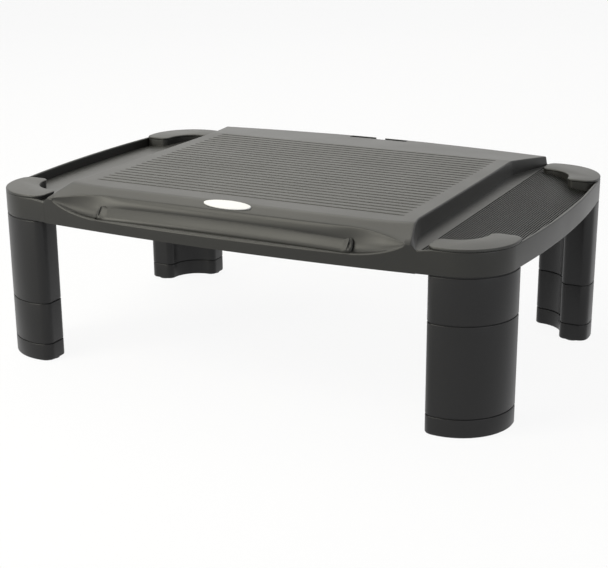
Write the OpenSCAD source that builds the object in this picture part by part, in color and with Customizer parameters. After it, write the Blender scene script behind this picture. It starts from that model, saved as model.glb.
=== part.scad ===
// Desktop riser: a ribbed deck with side trays and a pen trough, on four stacking legs.
// Millimetres, +Z up, the front towards -Y. The origin is on the floor under the middle of the deck.

/* [Deck] */
// Overall width of the deck
deck_w = 514; // [460:2:640]
// Overall depth of the deck
deck_d = 354; // [320:2:440]
// Radius of the bowed left and right edges
side_bow_r = 1050; // [800:10:1600]
// Radius of the bowed front and back edges
front_bow_r = 2000; // [1600:10:3000]
// Radius of the corners in plan
corner_r = 48; // [44:1:58]
// Height of the skirt around the deck
skirt_h = 21; // [19:0.5:28]
// Thickness of the moulded walls
wall = 3; // [2.4:0.1:3.6]

/* [Panel] */
// Height of the panel above the rim
panel_rise = 13; // [11:0.5:18]
// Gap between the panel and a front cap, at the front edge
front_gap = 14; // [8:0.5:20]
// Gap between the panel and a back cap, at the back edge
back_gap = 0.5; // [0.5:0.5:10]
// Depth of the apron that slopes down to the front edge
front_apron = 33; // [30:1:44]
// Fall of the front apron at the front edge
front_drop = 12.5; // [8:0.5:13]
// Depth of the apron that slopes down to the back edge
back_apron = 67; // [40:1:80]
// Fall of the back apron at the back edge
back_drop = 6.5; // [3:0.5:9]

/* [Grooves] */
// Spacing of the grooves
groove_pitch = 9.25; // [7:0.05:12]
// Distance from the panel's side to the end of a groove
groove_side = 12.5; // [6:0.5:30]
// Width of a groove at the surface
groove_w = 5; // [3:0.1:5.5]
// Depth of a groove
groove_deep = 1.2; // [0.6:0.1:1.4]
// Distance from the front apron to the first groove
groove_start = 23; // [8:0.5:40]
// Least distance from the last groove to the back apron
groove_stop = 8.5; // [4:0.5:30]

/* [Trays] */
// Width of a side tray, from the panel to the outside of the skirt
tray_w = 92.5; // [80:0.5:110]
// Width of the flat ledge beside the panel
ledge_w = 19.5; // [10:0.5:24]
// Depth of the ledge below the rim
ledge_drop = 1.5; // [1:0.1:3]
// Depth of a tray at its outer wall, below the rim
tray_deep = 12; // [8:0.5:14]
// Spacing of the fine ribs in the right-hand tray
fine_pitch = 2.2; // [1.6:0.1:4]
// Height of the fine ribs
fine_h = 0.6; // [0.3:0.1:1]

/* [Scoop and trough] */
// Radius of the scoop along the front edge
scoop_r = 23.5; // [18:0.5:24]
// How far the scoop's axis lies in front of the front edge
scoop_out = 1; // [0:0.5:3]
// Length of each of the scoop's rounded ends
scoop_end = 32; // [20:1:40]
// Distance from the end of the scoop to the panel's front corner
scoop_margin = 2; // [1:0.5:10]
// Width of the pen trough
trough_w = 13; // [10:0.5:14]
// Distance from the end of the trough to the scoop's rounded end
trough_margin = 15; // [8:1:60]
// Distance from the front edge to the middle of the trough
trough_in = 13.5; // [12:0.5:15]
// Depth of the trough's floor below the rim
trough_deep = 15.5; // [12:0.5:16]

/* [Underside] */
// Thickness of the stiffening ribs under the panel
stiffener_t = 2; // [1.5:0.1:3]
// Height of the stiffening ribs under the panel
stiffener_h = 6; // [4:0.5:10]

/* [Cable slot] */
// Width of the slot behind the back edge
slot_w = 64; // [40:1:90]
// Depth of the slot, front to back
slot_d = 7; // [5:0.5:12]
// Width of the slot's open mouth
mouth_w = 11; // [8:0.5:20]
// Depth of the mouth below the rim
mouth_deep = 8; // [4:0.5:14]

/* [Legs] */
// Height of a tall leg segment
tall_h = 80; // [50:1:110]
// Height of a short leg segment
short_h = 40; // [30:1:60]
// Height of a foot on its pads
foot_h = 18; // [15:0.5:28]
// How far the leg's two lobes reach past the corner's centre
lobe_reach = 14; // [10:0.5:18]
// Radius at the outer end of a lobe
lobe_outer_r = 9; // [7:0.5:11]
// Radius at the inner end of a lobe
lobe_inner_r = 7; // [6.8:0.1:9]
// Radius of the notch on the leg's inner side
notch_r = 28; // [24:0.5:32]
// How far the notch's centre lies inside the corner's centre, along X and along Y
notch_back = 8; // [6:0.5:10]
// Height of the spigot on each leg piece
spigot_h = 10; // [6:0.5:12]
// Wall of a spigot or plug
spigot_wall = 2.2; // [1.6:0.1:2.4]
// Spare depth past the end of a spigot in its socket
spigot_spare = 1; // [0.5:0.1:2]
// Clearance around a spigot or plug in its socket
fit_gap = 0.3; // [0.2:0.05:0.5]
// Height of the shadow groove at a seam
seam_h = 1; // [0.6:0.1:1.4]
// Depth of the shadow groove at a seam
seam_deep = 1; // [0.6:0.1:1.4]

/* [Caps, pads and badge] */
// Thickness of a corner cap
cap_t = 3.2; // [2:0.1:4]
// How far a corner cap stands out over its post
cap_over = 0.6; // [0.3:0.1:1]
// Spare depth under the plug of a corner cap
plug_spare = 2; // [1:0.5:3]
// Diameter of a rubber foot pad
pad_d = 14; // [10:0.5:16]
// Thickness of a rubber foot pad
pad_t = 2; // [1.5:0.1:2.5]
// How far a pad stands out of its foot
pad_out = 1; // [0.6:0.1:1.2]
// Width of the oval badge
badge_w = 46; // [30:1:70]
// Height of the oval badge
badge_h = 11.5; // [8:0.5:12]
// Thickness of the oval badge
badge_t = 1; // [0.6:0.1:1.6]

/* [Hidden] */
$fn = 48;
arc_n = 8;               // straight steps in an arc of a plan outline
through = 1;             // overrun of a cut past the face it opens
leg_h = tall_h + short_h + foot_h;
rim_z = leg_h + skirt_h;
panel_z = rim_z + panel_rise;
ledge_z = rim_z - ledge_drop;
front_y = -deck_d / 2;
back_y = deck_d / 2;
front_crease_y = front_y + front_apron;
back_crease_y = back_y - back_apron;
front_fall = front_drop / front_apron;
panel_w = deck_w - 2 * tray_w;
socket_deep = spigot_h + spigot_spare;
plug_h = skirt_h - socket_deep - wall - plug_spare;
spigot_inset = wall + fit_gap;
bore_inset = spigot_inset + spigot_wall;
corner_names = ["front_left", "front_right", "back_right", "back_left"];
corner_signs = [[-1, -1], [1, -1], [1, 1], [-1, 1]];
corner_turns = [180, 270, 0, 90];
// Heights of each leg's upper and lower segments: the front right leg is stacked the other way round
stacks = [[tall_h, short_h], [short_h, tall_h], [tall_h, short_h], [tall_h, short_h]];
corner_parts = ["cap", "upper_leg", "lower_leg", "foot", "foot_pads"];

// Centre of the corner arc that touches the side arc and the back arc from inside
side_c = [deck_w / 2 - side_bow_r, 0];
back_c = [0, back_y - front_bow_r];
side_reach = side_bow_r - corner_r;
back_reach = front_bow_r - corner_r;
between = back_c - side_c;
along = (side_reach ^ 2 - back_reach ^ 2 + between * between) / (2 * norm(between));
aside = sqrt(side_reach ^ 2 - along ^ 2);
way = between / norm(between);
corner_c = side_c + along * way + aside * [-way.y, way.x];
side_end = atan2(corner_c.y, corner_c.x - side_c.x);
back_end = atan2(corner_c.y - back_c.y, corner_c.x);

// Centres of the roundings at the ends of a leg's lobes, in the frame of the corner's centre
outer_x = lobe_outer_r - lobe_reach;
outer_end = [outer_x, sqrt((corner_r - lobe_outer_r) ^ 2 - outer_x ^ 2)];
notch_c = [-notch_back, -notch_back];
inner_x = lobe_inner_r - lobe_reach;
inner_end = [inner_x, sqrt((notch_r + lobe_inner_r) ^ 2 - (inner_x + notch_back) ^ 2) - notch_back];
outer_turn = atan2(outer_end.y, outer_end.x);
notch_turn = atan2(inner_end.y - notch_c.y, inner_end.x - notch_c.x);

// Half widths of the panel at the front and back edges, clear of the caps
lobe_x = corner_c.x - lobe_reach;
panel_front_x = lobe_x - front_gap;
panel_back_x = lobe_x - back_gap;

// Half lengths of the scoop's straight part and of the trough, and the place where the scoop cuts the apron
scoop_half = panel_front_x - scoop_margin - scoop_end;
trough_half = scoop_half - trough_margin;
scoop_fall = front_drop + scoop_out * front_fall;
scoop_root = sqrt(scoop_r ^ 2 * (1 + front_fall ^ 2) - scoop_fall ^ 2);
scoop_top_y = front_y - scoop_out + (scoop_fall * front_fall + scoop_root) / (1 + front_fall ^ 2);

groove_len = panel_w - 2 * groove_side;
groove_span = back_crease_y - front_crease_y - groove_start - groove_stop;
groove_n = floor(groove_span / groove_pitch) + 1;

charcoal = [0.20, 0.20, 0.20];

function swap(p) = [p.y, p.x];
function on_circle(c, r, a) = c + r * [cos(a), sin(a)];
function arc(c, r, from, to) = [for (i = [0:arc_n]) on_circle(c, r, from + (to - from) * i / arc_n)];
function tail(list) = [for (i = [1:len(list) - 1]) list[i]];
function back_to_front(list) = [for (i = [len(list) - 1:-1:0]) list[i]];

// Right rear quarter of the deck's outline, drawn in by an inset
function deck_quarter(inset) = concat(
    arc(side_c, side_bow_r - inset, 0, side_end),
    tail(arc(corner_c, corner_r - inset, side_end, back_end)),
    tail(arc(back_c, front_bow_r - inset, back_end, 90)));

// Outline of the whole deck, drawn in by an inset
function deck_outline(inset) =
    let (rear = deck_quarter(inset),
         half = concat(rear, tail(back_to_front([for (p = rear) [-p.x, p.y]]))))
    concat(half, tail(back_to_front([for (p = tail(half)) [p.x, -p.y]])));

// Section of a leg, drawn in by an inset, about its corner's centre
function leg_section(inset) = concat(
    arc([0, 0], corner_r - inset, 90 - outer_turn, outer_turn),
    tail(arc(outer_end, lobe_outer_r - inset, outer_turn, 180)),
    arc(inner_end, lobe_inner_r - inset, 180, 180 + notch_turn),
    tail(arc(notch_c, notch_r + inset, notch_turn, 90 - notch_turn)),
    tail(arc(swap(inner_end), lobe_inner_r - inset, 270 - notch_turn, 270)),
    arc(swap(outer_end), lobe_outer_r - inset, 270, 450 - outer_turn));

// Right half of the raised panel's outline, drawn in by an inset
function panel_half(inset) =
    let (x = panel_w / 2 - inset)
    [[panel_front_x - inset, front_y], [x, front_crease_y],
     [x, back_crease_y], [panel_back_x - inset, back_y]];

module along_x(length) {
    rotate([90, 0, 90]) linear_extrude(length, center = true) children();
}

module along_y(length) {
    rotate([90, 0, 0]) linear_extrude(length, center = true) children();
}

module deck_prism(inset, from, to) {
    translate([0, 0, from]) linear_extrude(to - from) polygon(deck_outline(inset));
}

module leg_prism(inset, from, to) {
    translate([0, 0, from]) linear_extrude(to - from) polygon(leg_section(inset));
}

module at_corner(i) {
    place = [corner_signs[i].x * corner_c.x, corner_signs[i].y * corner_c.y, 0];
    translate(place) rotate(corner_turns[i]) children();
}

// Everything under the panel's top surface, lowered by an inset, down to a height
module under_panel(inset, from) {
    along_x(deck_w) polygon([
        [front_y, panel_z - front_drop - inset], [front_crease_y, panel_z - inset],
        [back_crease_y, panel_z - inset], [back_y, panel_z - back_drop - inset],
        [back_y, from], [front_y, from]]);
}

module panel_solid(inset, from) {
    half = panel_half(inset);
    intersection() {
        under_panel(inset, from);
        deck_prism(inset, from, panel_z);
        translate([0, 0, from]) linear_extrude(panel_z - from)
            polygon(concat(half, back_to_front([for (p = half) [-p.x, p.y]])));
    }
}

module skirt() {
    difference() {
        deck_prism(0, leg_h, rim_z);
        deck_prism(wall, leg_h - through, rim_z + through);
    }
}

// Tray beside the panel: a ledge, then a floor that falls to the outer wall
module tray(side) {
    from_x = panel_w / 2 - wall;
    ledge_x = panel_w / 2 + ledge_w;
    rim_x = (deck_w - wall) / 2;
    floor_z = rim_z - tray_deep;
    fall = (floor_z - ledge_z) / (rim_x - ledge_x);
    rib_n = side > 0 ? floor((rim_x - ledge_x) / fine_pitch) : 0;
    // Each rib is a ridge between two valleys on the sloping floor
    ribs = [for (k = [0:1:rib_n - 1], top = [0, 1])
        let (x = ledge_x + (k + (1 + top) / 2) * fine_pitch)
        [x, ledge_z + fall * (x - ledge_x) - (top == 0 ? fine_h : 0)]];
    top_line = concat([[from_x, ledge_z], [ledge_x, ledge_z]], ribs, [[rim_x, floor_z]]);
    under_line = [[rim_x, floor_z - wall], [ledge_x, ledge_z - wall], [from_x, ledge_z - wall]];
    intersection() {
        along_y(deck_d) polygon([for (p = concat(top_line, under_line)) [side * p.x, p.y]]);
        deck_prism(wall / 2, leg_h, rim_z);
    }
}

module post(i) {
    at_corner(i) leg_prism(cap_over, leg_h, rim_z);
}

// Sockets in a post: the leg's spigot enters from below and the cap's plug from above
module post_sockets(i) {
    at_corner(i) {
        leg_prism(wall, leg_h - through, leg_h + socket_deep);
        leg_prism(wall, leg_h + socket_deep + wall, rim_z + through);
    }
}

// Spindle-shaped body of the scoop along the front edge, thickened by a skin
module scoop_body(skin) {
    round_end = [for (a = [0:15:90]) [(scoop_r + skin) * cos(a), scoop_half + (scoop_end + skin) * sin(a)]];
    half = concat([[0, 0]], [[scoop_r + skin, 0]], round_end);
    translate([0, front_y - scoop_out, panel_z]) rotate([0, 90, 0]) {
        rotate_extrude() polygon(half);
        mirror([0, 0, 1]) rotate_extrude() polygon(half);
    }
}

// Round-bottomed pen trough, thickened by a skin, open upwards to a height
module trough_body(skin, to) {
    r = trough_w / 2 + skin;
    bottom = rim_z - trough_deep + trough_w / 2;
    reach = trough_half - trough_w / 2;
    translate([0, front_y + trough_in, bottom]) {
        rotate([0, 90, 0]) cylinder(r = r, h = 2 * reach, center = true);
        for (side = [-1, 1]) translate([side * reach, 0, 0]) {
            sphere(r);
            cylinder(r = r, h = to - bottom);
        }
        translate([-reach, -r, 0]) cube([2 * reach, 2 * r, to - bottom]);
    }
}

module scoop_skin() {
    intersection() {
        union() {
            scoop_body(wall);
            trough_body(wall, rim_z);
        }
        under_panel(0, leg_h);
        deck_prism(0, leg_h, panel_z);
    }
}

module cable_slot() {
    strip_y = back_y - wall;
    translate([-slot_w / 2, strip_y - slot_d, rim_z - mouth_deep]) cube([slot_w, slot_d, panel_z]);
    translate([-mouth_w / 2, strip_y - slot_d, rim_z - mouth_deep])
        cube([mouth_w, slot_d + 2 * wall, panel_z]);
}

module grooves() {
    r = ((groove_w / 2) ^ 2 + groove_deep ^ 2) / (2 * groove_deep);
    for (k = [0:groove_n - 1])
        translate([0, front_crease_y + groove_start + k * groove_pitch, panel_z + r - groove_deep])
            rotate([0, 90, 0]) cylinder(r = r, h = groove_len, center = true);
}

// Ribs under the panel, hanging from its underside
module stiffeners() {
    top = panel_z - wall;
    span = back_crease_y - front_crease_y;
    for (k = [-1:1]) {
        translate([k * panel_w / 4, (front_crease_y + back_crease_y) / 2, top - stiffener_h / 2])
            cube([stiffener_t, span, stiffener_h], center = true);
        translate([0, (front_crease_y + back_crease_y) / 2 + k * span / 3, top - stiffener_h / 2])
            cube([panel_w - wall, stiffener_t, stiffener_h], center = true);
    }
}

module deck() {
    color(charcoal) difference() {
        union() {
            difference() {
                union() {
                    skirt();
                    panel_solid(0, ledge_z - wall);
                    for (side = [-1, 1]) tray(side);
                }
                panel_solid(wall, leg_h - through);
            }
            for (i = [0:3]) post(i);
            scoop_skin();
            stiffeners();
        }
        for (i = [0:3]) post_sockets(i);
        scoop_body(0);
        trough_body(0, panel_z);
        cable_slot();
        grooves();
    }
}

// Oval badge lying on the front apron
module badge() {
    middle = (front_crease_y + scoop_top_y) / 2;
    height = panel_z + (middle - front_crease_y) * front_fall;
    oval = [for (a = [0:7.5:359]) [badge_w / 2 * cos(a), badge_h / 2 * sin(a)]];
    color("white") translate([0, middle, height]) rotate([atan(front_fall), 0, 0])
        linear_extrude(badge_t) polygon(oval);
}

module cap(i) {
    color(charcoal) at_corner(i) {
        leg_prism(0, rim_z, rim_z + cap_t);
        difference() {
            leg_prism(spigot_inset, rim_z - plug_h, rim_z);
            leg_prism(bore_inset, rim_z - plug_h - through, rim_z);
        }
    }
}

// Outer body of a leg piece with its seam groove and spigot, from one height to another
module leg_outside(from, to) {
    leg_prism(0, from, to - seam_h);
    leg_prism(seam_deep, to - seam_h, to);
    leg_prism(spigot_inset, to, to + spigot_h);
}

// Leg segment: open below, with a closing plate and a hollow spigot on top
module leg_segment(i, from, to) {
    color(charcoal) at_corner(i) difference() {
        leg_outside(from, to);
        leg_prism(wall, from - through, to - wall);
        leg_prism(bore_inset, to, to + spigot_h + through);
    }
}

module pad_places() {
    for (place = [outer_end + inner_end, swap(outer_end) + swap(inner_end)]) translate(place / 2) children();
}

module foot(i) {
    color(charcoal) at_corner(i) difference() {
        leg_outside(pad_out, foot_h);
        leg_prism(bore_inset, pad_t + wall, foot_h + spigot_h + through);
        pad_places() cylinder(d = pad_d, h = pad_t);
    }
}

// Rubber pads set into the underside of a foot
module foot_pads(i) {
    color("black") at_corner(i) pad_places() cylinder(d = pad_d, h = pad_t);
}

deck();
badge();
for (i = [0:3]) {
    name = corner_names[i];
    seam_z = foot_h + stacks[i][1];
    cap(i);
    leg_segment(i, seam_z, leg_h);
    leg_segment(i, foot_h, seam_z);
    foot(i);
    foot_pads(i);
}
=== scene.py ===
# %% [markdown]
# # A four-legged desktop riser
# The real object is a moulded plastic shelf for a monitor. A ribbed panel stands a little above two side
# trays, a pen trough runs along the front, and four legs are stacked from short and tall segments.
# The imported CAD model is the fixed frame: it says where every piece is. Here each piece is modelled again
# with the rounded edges, soft creases and textured plastic that the CAD solids leave out.

# %% Load the frame
import math

import bpy
import numpy as np
from mathutils import Euler, Matrix, Vector


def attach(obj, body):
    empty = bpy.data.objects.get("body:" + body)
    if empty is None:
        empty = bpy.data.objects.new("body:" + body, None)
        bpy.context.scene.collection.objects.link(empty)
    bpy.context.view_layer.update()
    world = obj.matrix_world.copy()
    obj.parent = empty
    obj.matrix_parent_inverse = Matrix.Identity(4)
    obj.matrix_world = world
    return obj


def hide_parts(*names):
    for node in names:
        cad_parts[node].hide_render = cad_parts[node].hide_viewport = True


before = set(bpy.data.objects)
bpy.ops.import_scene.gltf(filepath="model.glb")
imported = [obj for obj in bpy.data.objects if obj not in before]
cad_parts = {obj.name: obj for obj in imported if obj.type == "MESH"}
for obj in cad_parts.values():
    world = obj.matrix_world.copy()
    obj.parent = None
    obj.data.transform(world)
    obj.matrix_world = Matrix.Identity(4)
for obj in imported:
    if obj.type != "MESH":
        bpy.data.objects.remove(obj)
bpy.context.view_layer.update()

# %% [markdown]
# ## Sizes
# All lengths are in metres. The main ones repeat the CAD model's values, so that a piece lies where its node
# is. The deck's plan is made of arcs: long shallow bows along the four edges, and a smaller arc round each
# corner. The centre of a corner's arc is where all the pieces of that leg are centred too.

# %% Sizes of the deck's plan
DECK_W, DECK_D = 0.514, 0.354
SIDE_BOW, FRONT_BOW = 1.05, 2.0
CORNER_R = 0.048
SIDE_C = Vector((DECK_W / 2 - SIDE_BOW, 0))
BACK_C = Vector((0, DECK_D / 2 - FRONT_BOW))


def corner_centre():
    """Centre of the arc that touches the right side's bow and the back's bow from inside."""
    side_reach = SIDE_BOW - CORNER_R
    back_reach = FRONT_BOW - CORNER_R
    between = BACK_C - SIDE_C
    along = (side_reach ** 2 - back_reach ** 2 + between.length_squared) / (2 * between.length)
    aside = math.sqrt(side_reach ** 2 - along ** 2)
    way = between.normalized()
    return SIDE_C + along * way + aside * Vector((-way.y, way.x))


CORNER_C = corner_centre()
SIDE_END = math.atan2(CORNER_C.y, CORNER_C.x - SIDE_C.x)
BACK_END = math.atan2(CORNER_C.y - BACK_C.y, CORNER_C.x)
BOW_TURN = math.pi / 2 - BACK_END
WALL = 0.003
LEG_TOP, RIM_Z, PANEL_Z = 0.138, 0.159, 0.172
SKIRT_H = RIM_Z - LEG_TOP
print("corner centre", [round(v, 4) for v in CORNER_C])

# %% [markdown]
# ## Tools for the bench
# With no window, everything goes through operators on the active object. These few helpers start a piece,
# pick faces or edges by their place, and pull, spin or round what is picked. The spin operator turns
# clockwise here, so `swing` swaps the sign.

# %% Start a piece
SAME_SPOT, NEAR_SPOT = 0.000002, 0.00001


def begin(name):
    """Names the primitive that was just added and opens it for editing, all selected."""
    piece = bpy.context.object
    piece.name = name
    piece.data.name = name
    piece.data.materials.clear()
    bpy.ops.object.mode_set(mode="EDIT")
    bpy.ops.mesh.select_mode(type="VERT")
    bpy.ops.mesh.select_all(action="SELECT")
    return piece


def add_point(name, spot):
    """A piece with a single vertex, from a small circle merged at its middle."""
    bpy.ops.object.select_all(action="DESELECT")
    bpy.ops.mesh.primitive_circle_add(vertices=3, radius=0.001)
    piece = begin(name)
    bpy.ops.mesh.merge(type="CENTER")
    bpy.ops.transform.translate(value=spot)
    return piece


def close_up(smooth=40):
    """Merges doubles, points the faces outwards and leaves edit mode with smooth shading."""
    bpy.ops.mesh.select_all(action="SELECT")
    bpy.ops.mesh.remove_doubles(threshold=SAME_SPOT)
    bpy.ops.mesh.normals_make_consistent(inside=False)
    bpy.ops.object.mode_set(mode="OBJECT")
    bpy.ops.object.shade_smooth_by_angle(angle=math.radians(smooth))
    return bpy.context.object


# %% Pick by place
def pick(kind, test):
    """Selects the vertices, edges or faces whose place passes the test, and nothing else."""
    bpy.ops.mesh.select_mode(type=kind)
    bpy.ops.mesh.select_all(action="DESELECT")
    bpy.ops.object.mode_set(mode="OBJECT")
    mesh = bpy.context.object.data
    if kind == "VERT":
        for v in mesh.vertices:
            v.select = test(v.co)
    elif kind == "EDGE":
        for e in mesh.edges:
            a, b = (mesh.vertices[i].co for i in e.vertices)
            e.select = test(a, b)
    else:
        for f in mesh.polygons:
            f.select = test(f.center, f.normal)
    bpy.ops.object.mode_set(mode="EDIT")


def at_level(z):
    """A test for flat faces that lie at a height."""
    return lambda middle, normal: abs(middle.z - z) < NEAR_SPOT and abs(normal.z) > 0.99


def loop_at(z):
    """A test for edges that lie at a height."""
    return lambda a, b: abs(a.z - z) < NEAR_SPOT and abs(b.z - z) < NEAR_SPOT


# %% Pull, spin and round
def pull(x=0.0, y=0.0, z=0.0):
    """Extrudes what is selected and moves it."""
    bpy.ops.mesh.extrude_region_move(TRANSFORM_OT_translate={"value": (x, y, z)})


def swing(angle, centre, steps):
    """Spins what is selected anticlockwise about an upright axis."""
    bpy.ops.mesh.spin(steps=steps, angle=-angle, center=(centre[0], centre[1], 0), axis=(0, 0, 1))


def soften(width, segments=3):
    """Rounds the selected edges."""
    bpy.ops.mesh.bevel(offset=width, segments=segments, affect="EDGES", clamp_overlap=False)


# %% [markdown]
# ## The leg's outline
# A leg is a quarter of a round tower with a notch on its inner side, so that its section looks like a
# boomerang. The outline could be drawn point by point. Spinning one vertex about the centre of each arc in
# turn gives the same curve with true tangents, and it reads like the drawing that a mould maker would start
# from.

# %% Draw a leg's outline
LOBE_REACH, LOBE_OUTER_R, LOBE_INNER_R = 0.014, 0.009, 0.007
NOTCH_R, NOTCH_BACK = 0.028, 0.008
OUTER_STEPS, LOBE_STEPS, NOTCH_STEPS = 32, 12, 24
outer_x = LOBE_OUTER_R - LOBE_REACH
OUTER_END = Vector((outer_x, math.sqrt((CORNER_R - LOBE_OUTER_R) ** 2 - outer_x ** 2)))
NOTCH_C = Vector((-NOTCH_BACK, -NOTCH_BACK))
inner_x = LOBE_INNER_R - LOBE_REACH
inner_rise = math.sqrt((NOTCH_R + LOBE_INNER_R) ** 2 - (inner_x + NOTCH_BACK) ** 2)
INNER_END = Vector((inner_x, inner_rise - NOTCH_BACK))
OUTER_TURN = math.atan2(OUTER_END.y, OUTER_END.x)
NOTCH_TURN = math.atan2(INNER_END.y - NOTCH_C.y, INNER_END.x - NOTCH_C.x)


def draw_leg(name, inset, z):
    """A filled leg outline about the origin, drawn in by an inset, at a height."""
    first = math.pi / 2 - OUTER_TURN
    r = CORNER_R - inset
    add_point(name, (r * math.cos(first), r * math.sin(first), z))
    lobe_turn = math.pi - OUTER_TURN
    swing(OUTER_TURN - first, (0, 0), OUTER_STEPS)
    swing(lobe_turn, OUTER_END, LOBE_STEPS)
    pull(y=INNER_END.y - OUTER_END.y)
    swing(NOTCH_TURN, INNER_END, LOBE_STEPS)
    swing(math.pi / 2 - 2 * NOTCH_TURN, NOTCH_C, NOTCH_STEPS)
    swing(NOTCH_TURN, INNER_END.yx, LOBE_STEPS)
    pull(x=OUTER_END.y - INNER_END.y)
    swing(lobe_turn, OUTER_END.yx, LOBE_STEPS)
    bpy.ops.mesh.select_all(action="SELECT")
    bpy.ops.mesh.remove_doubles(threshold=NEAR_SPOT)
    bpy.ops.mesh.edge_face_add()
    return bpy.context.object


print("the outer arc ends at", round(math.degrees(OUTER_TURN), 1), "degrees")

# %% [markdown]
# ## Corner caps
# A cap is a thin plate with a softened top edge over a hollow plug that presses into the deck's post. Only
# the plate shows, but the plug comes into view when the cap is lifted. The outline is extruded, its edges are
# bevelled while they are the only loops there, and then the underside is inset, pulled down and hollowed.

# %% Model one cap
SPIGOT_INSET, SPIGOT_WALL = 0.0033, 0.0022
CAP_T, PLUG_H = 0.0022, 0.005
CAP_ROUND, CAP_GAP = 0.0011, 0.0006
corner_cap = draw_leg("corner_cap", 0, RIM_Z)
pull(z=CAP_T)
pick("EDGE", loop_at(RIM_Z + CAP_T))
soften(CAP_ROUND, 4)
pick("EDGE", loop_at(RIM_Z))
soften(CAP_GAP, 2)
pick("FACE", at_level(RIM_Z))
bpy.ops.mesh.inset(thickness=SPIGOT_INSET - CAP_GAP)
pull(z=-PLUG_H)
bpy.ops.mesh.inset(thickness=SPIGOT_WALL)
pull(z=PLUG_H)
corner_cap = close_up()
print("cap faces", len(corner_cap.data.polygons))

# %% [markdown]
# ## Leg segments and feet
# Every leg piece has the same outside: a plain wall, a shadow groove under its top, and a spigot that enters
# the piece above. A segment is open below, to take the next spigot, and a foot is closed. Both come from one
# function, because on the real object they are the same moulding at different heights.

# %% Model the leg pieces
SEAM_H, SEAM_DEEP, SPIGOT_H = 0.001, 0.001, 0.010
EDGE_R, FOOT_R = 0.0006, 0.0012


def leg_body(name, low, high, low_round):
    """Outside of a leg piece with its groove and spigot, and a bevelled lower edge."""
    draw_leg(name, 0, low)
    pull(z=high - SEAM_H - low)
    pick("EDGE", loop_at(high - SEAM_H))
    soften(EDGE_R)
    pick("EDGE", loop_at(low))
    soften(low_round, 4)
    pick("FACE", at_level(high - SEAM_H))
    bpy.ops.mesh.inset(thickness=SEAM_DEEP - EDGE_R)
    pull(z=SEAM_H)
    bpy.ops.mesh.inset(thickness=SPIGOT_INSET - SEAM_DEEP)
    pull(z=SPIGOT_H)
    bpy.ops.mesh.inset(thickness=SPIGOT_WALL)


def leg_segment(name, height):
    """A leg segment standing on the origin, hollow from below."""
    leg_body(name, 0, height, EDGE_R)
    pull(z=-SPIGOT_H)
    pick("FACE", at_level(0))
    bpy.ops.mesh.inset(thickness=WALL - EDGE_R)
    pull(z=height - WALL)
    return close_up()


TALL_H, SHORT_H, FOOT_H = 0.080, 0.040, 0.018
PAD_D, PAD_T, PAD_OUT = 0.014, 0.002, 0.001
tall_segment = leg_segment("tall_segment", TALL_H)
short_segment = leg_segment("short_segment", SHORT_H)
leg_body("foot_block", PAD_OUT, FOOT_H, FOOT_R)
pull(z=PAD_T + WALL - FOOT_H - SPIGOT_H)
foot_block = close_up()
print("segment faces", len(tall_segment.data.polygons), "foot faces", len(foot_block.data.polygons))

# %% [markdown]
# ## Rubber pads
# Two round pads under each foot keep the riser from sliding. They sit in shallow recesses, so the foot is cut
# with slightly larger discs first. A pad is a short cylinder with a rounded rim and a dished face.

# %% Cut and join
def select_only(*parts):
    """Selects these objects and nothing else. The first one is active."""
    bpy.ops.object.select_all(action="DESELECT")
    for part in parts:
        part.select_set(True)
    bpy.context.view_layer.objects.active = parts[0]


def carve(piece, tool, operation):
    """Takes a closed tool out of a piece, or keeps what lies inside it, and throws the tool away."""
    select_only(piece)
    change = piece.modifiers.new("carve", "BOOLEAN")
    change.operation = operation
    change.solver = "EXACT"
    change.object = tool
    bpy.ops.object.modifier_apply(modifier=change.name)
    bpy.data.objects.remove(tool)


def join(name, parts):
    """Joins several parts into the first one."""
    select_only(*parts)
    bpy.ops.object.join()
    parts[0].name = name
    return parts[0]


# %% Model a pair of pads and cut their seats
SEAT_GAP, PAD_ROUND, PAD_RIM, PAD_DISH = 0.0002, 0.0005, 0.0035, 0.0003
PAD_SPOTS = [(OUTER_END + INNER_END) / 2, (OUTER_END + INNER_END).yx / 2]


def add_disc(name, spot, radius):
    """A closed disc on the ground, as thick as a pad."""
    bpy.ops.object.select_all(action="DESELECT")
    bpy.ops.mesh.primitive_cylinder_add(vertices=48, radius=radius, depth=PAD_T)
    piece = begin(name)
    bpy.ops.transform.translate(value=(spot[0], spot[1], PAD_T / 2))
    return piece


pads = []
for spot in PAD_SPOTS:
    add_disc("seat", spot, PAD_D / 2 + SEAT_GAP)
    carve(foot_block, close_up(), "DIFFERENCE")
    add_disc("pad", spot, PAD_D / 2)
    pick("EDGE", loop_at(0))
    soften(PAD_ROUND)
    pick("FACE", at_level(0))
    bpy.ops.mesh.inset(thickness=PAD_RIM)
    bpy.ops.transform.translate(value=(0, 0, PAD_DISH))
    pads.append(close_up())
rubber_pads = join("rubber_pads", pads)
print("pad faces", len(rubber_pads.data.polygons))

# %% [markdown]
# ## Copies at the four corners
# The pieces so far stand about the origin. Each corner gets copies with meshes of their own, turned about the
# leg's axis and moved to the corner's centre, and the move is then applied, so that every object sits at the
# origin. In the photograph the front right leg has its short segment on top, and the other legs have the tall
# one there.

# %% Place the corner pieces
CORNERS = {
    "front_left": (-1, -1, math.pi),
    "front_right": (1, -1, 1.5 * math.pi),
    "back_right": (1, 1, 0.0),
    "back_left": (-1, 1, 0.5 * math.pi),
}


def copy_to(pattern, name, corner, height):
    """A copy of a corner piece, turned and moved to one corner and raised to a height."""
    side, end, angle = CORNERS[corner]
    select_only(pattern)
    bpy.ops.object.duplicate(linked=False)
    piece = bpy.context.object
    piece.name = f"{name}_{corner}"
    piece.data.name = piece.name
    piece.rotation_euler.z = angle
    piece.location = (side * CORNER_C.x, end * CORNER_C.y, height)
    bpy.ops.object.transform_apply(location=True, rotation=True, scale=True)
    return piece


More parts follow.
